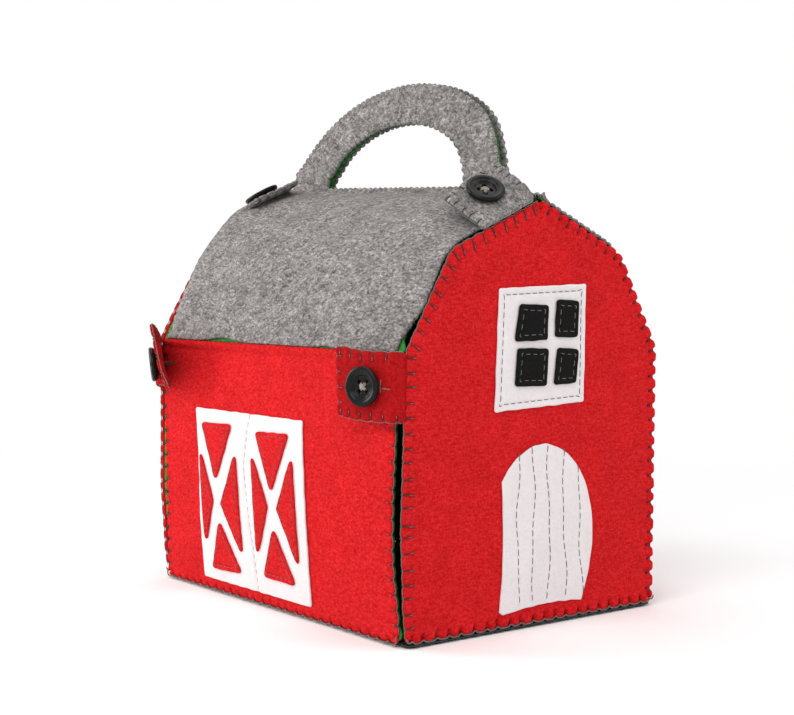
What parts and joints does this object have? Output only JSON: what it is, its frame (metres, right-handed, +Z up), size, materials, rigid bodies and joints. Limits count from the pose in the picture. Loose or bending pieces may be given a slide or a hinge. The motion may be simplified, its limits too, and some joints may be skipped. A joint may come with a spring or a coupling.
{
  "type": "felt toy barn carrying case",
  "caption": "Sewn felt toy barn that carries by its handles: four buttoned tabs free the wall with the barn doors and its half of the roof, which swing open together.",
  "frame": {"origin": "middle of the base's underside, on the surface that the barn stands on", "axes": "+Z up, Y along the ridge and the long walls, the gable with window and arched door nearest the picture's camera faces -Y, the long wall with the barn doors in the picture, which opens, faces -X"},
  "size_m": [0.1916, 0.2314, 0.2825],
  "materials": {
    "red_felt": "thick wool-blend craft felt with a short fuzz, barn red",
    "white_felt": "craft felt, white, cut edges",
    "black_felt": "craft felt, black",
    "grey_felt": "heathered charcoal grey craft felt with pale and dark fibres",
    "green_felt": "craft felt, grass green",
    "stiffener": "thin stiffening board, hidden between the felts",
    "button_plastic": "black satin-gloss sew-through button"
  },
  "bodies": {
    "sewn_shell": {"base_underside_felt": "grey_felt", "base_board": "stiffener", "base_floor_lining": "green_felt", "front_gable_felt": "red_felt", "front_gable_board": "stiffener", "front_gable_lining": "green_felt", "front_window_frame": "white_felt", "front_pane_upper_left": "black_felt", "front_pane_upper_right": "black_felt", "front_pane_lower_left": "black_felt", "front_pane_lower_right": "black_felt", "front_arched_door": "white_felt", "back_gable_felt": "red_felt", "back_gable_board": "stiffener", "back_gable_lining": "green_felt", "back_window_frame": "white_felt", "back_pane_upper_left": "black_felt", "back_pane_upper_right": "black_felt", "back_pane_lower_left": "black_felt", "back_pane_lower_right": "black_felt", "back_arched_door": "white_felt", "right_wall_felt": "red_felt", "right_wall_board": "stiffener", "right_wall_lining": "green_felt", "right_barn_door_panel": "white_felt", "right_door_triangle_left_upper": "red_felt", "right_door_triangle_left_outer": "red_felt", "right_door_triangle_left_inner": "red_felt", "right_door_triangle_left_lower": "red_felt", "right_door_triangle_right_upper": "red_felt", "right_door_triangle_right_outer": "red_felt", "right_door_triangle_right_inner": "red_felt", "right_door_triangle_right_lower": "red_felt", "right_roof_felt": "grey_felt", "right_roof_lining": "green_felt"},
    "left_wall": {"left_wall_felt": "red_felt", "left_wall_board": "stiffener", "left_wall_lining": "green_felt", "left_barn_door_panel": "white_felt", "left_door_triangle_left_upper": "red_felt", "left_door_triangle_left_outer": "red_felt", "left_door_triangle_left_inner": "red_felt", "left_door_triangle_left_lower": "red_felt", "left_door_triangle_right_upper": "red_felt", "left_door_triangle_right_outer": "red_felt", "left_door_triangle_right_inner": "red_felt", "left_door_triangle_right_lower": "red_felt", "front_eave_button": "button_plastic", "back_eave_button": "button_plastic"},
    "left_roof": {"left_roof_felt": "grey_felt", "left_roof_lining": "green_felt", "front_ridge_button": "button_plastic", "back_ridge_button": "button_plastic"},
    "front_eave_flap": {"front_eave_tab": "red_felt"},
    "back_eave_flap": {"back_eave_tab": "red_felt"},
    "front_ridge_flap": {"front_ridge_tab": "grey_felt"},
    "back_ridge_flap": {"back_ridge_tab": "grey_felt"}
  },
  "joints": [
    {"name": "left_wall_fold", "type": "hinge", "parent": "sewn_shell", "child": "left_wall", "pos_m": [-0.0865, 0, 0.00195], "axis": [0, -1, 0], "range_deg": [0, 84]},
    {"name": "left_roof_open", "type": "hinge", "parent": "left_wall", "child": "left_roof", "pos_m": [-0.0865, 0, 0.14015], "axis": [0, -1, 0], "range_deg": [0, 40]},
    {"name": "front_eave_unbutton", "type": "hinge", "parent": "sewn_shell", "child": "front_eave_flap", "pos_m": [-0.0868, -0.1125, 0.1238], "axis": [0, 0, 1], "range_deg": [0, 76], "deforming": ["front_eave_tab"]},
    {"name": "back_eave_unbutton", "type": "hinge", "parent": "sewn_shell", "child": "back_eave_flap", "pos_m": [-0.0868, 0.1125, 0.1238], "axis": [0, 0, -1], "range_deg": [0, 76], "deforming": ["back_eave_tab"]},
    {"name": "front_ridge_unbutton", "type": "hinge", "parent": "sewn_shell", "child": "front_ridge_flap", "pos_m": [-0.02228, -0.1125, 0.20592], "axis": [0.9138, 0, 0.4061], "range_deg": [0, 67], "deforming": ["front_ridge_tab"]},
    {"name": "back_ridge_unbutton", "type": "hinge", "parent": "sewn_shell", "child": "back_ridge_flap", "pos_m": [-0.02228, 0.1125, 0.20592], "axis": [-0.9138, 0, -0.4061], "range_deg": [0, 67], "deforming": ["back_ridge_tab"]}
  ]
}
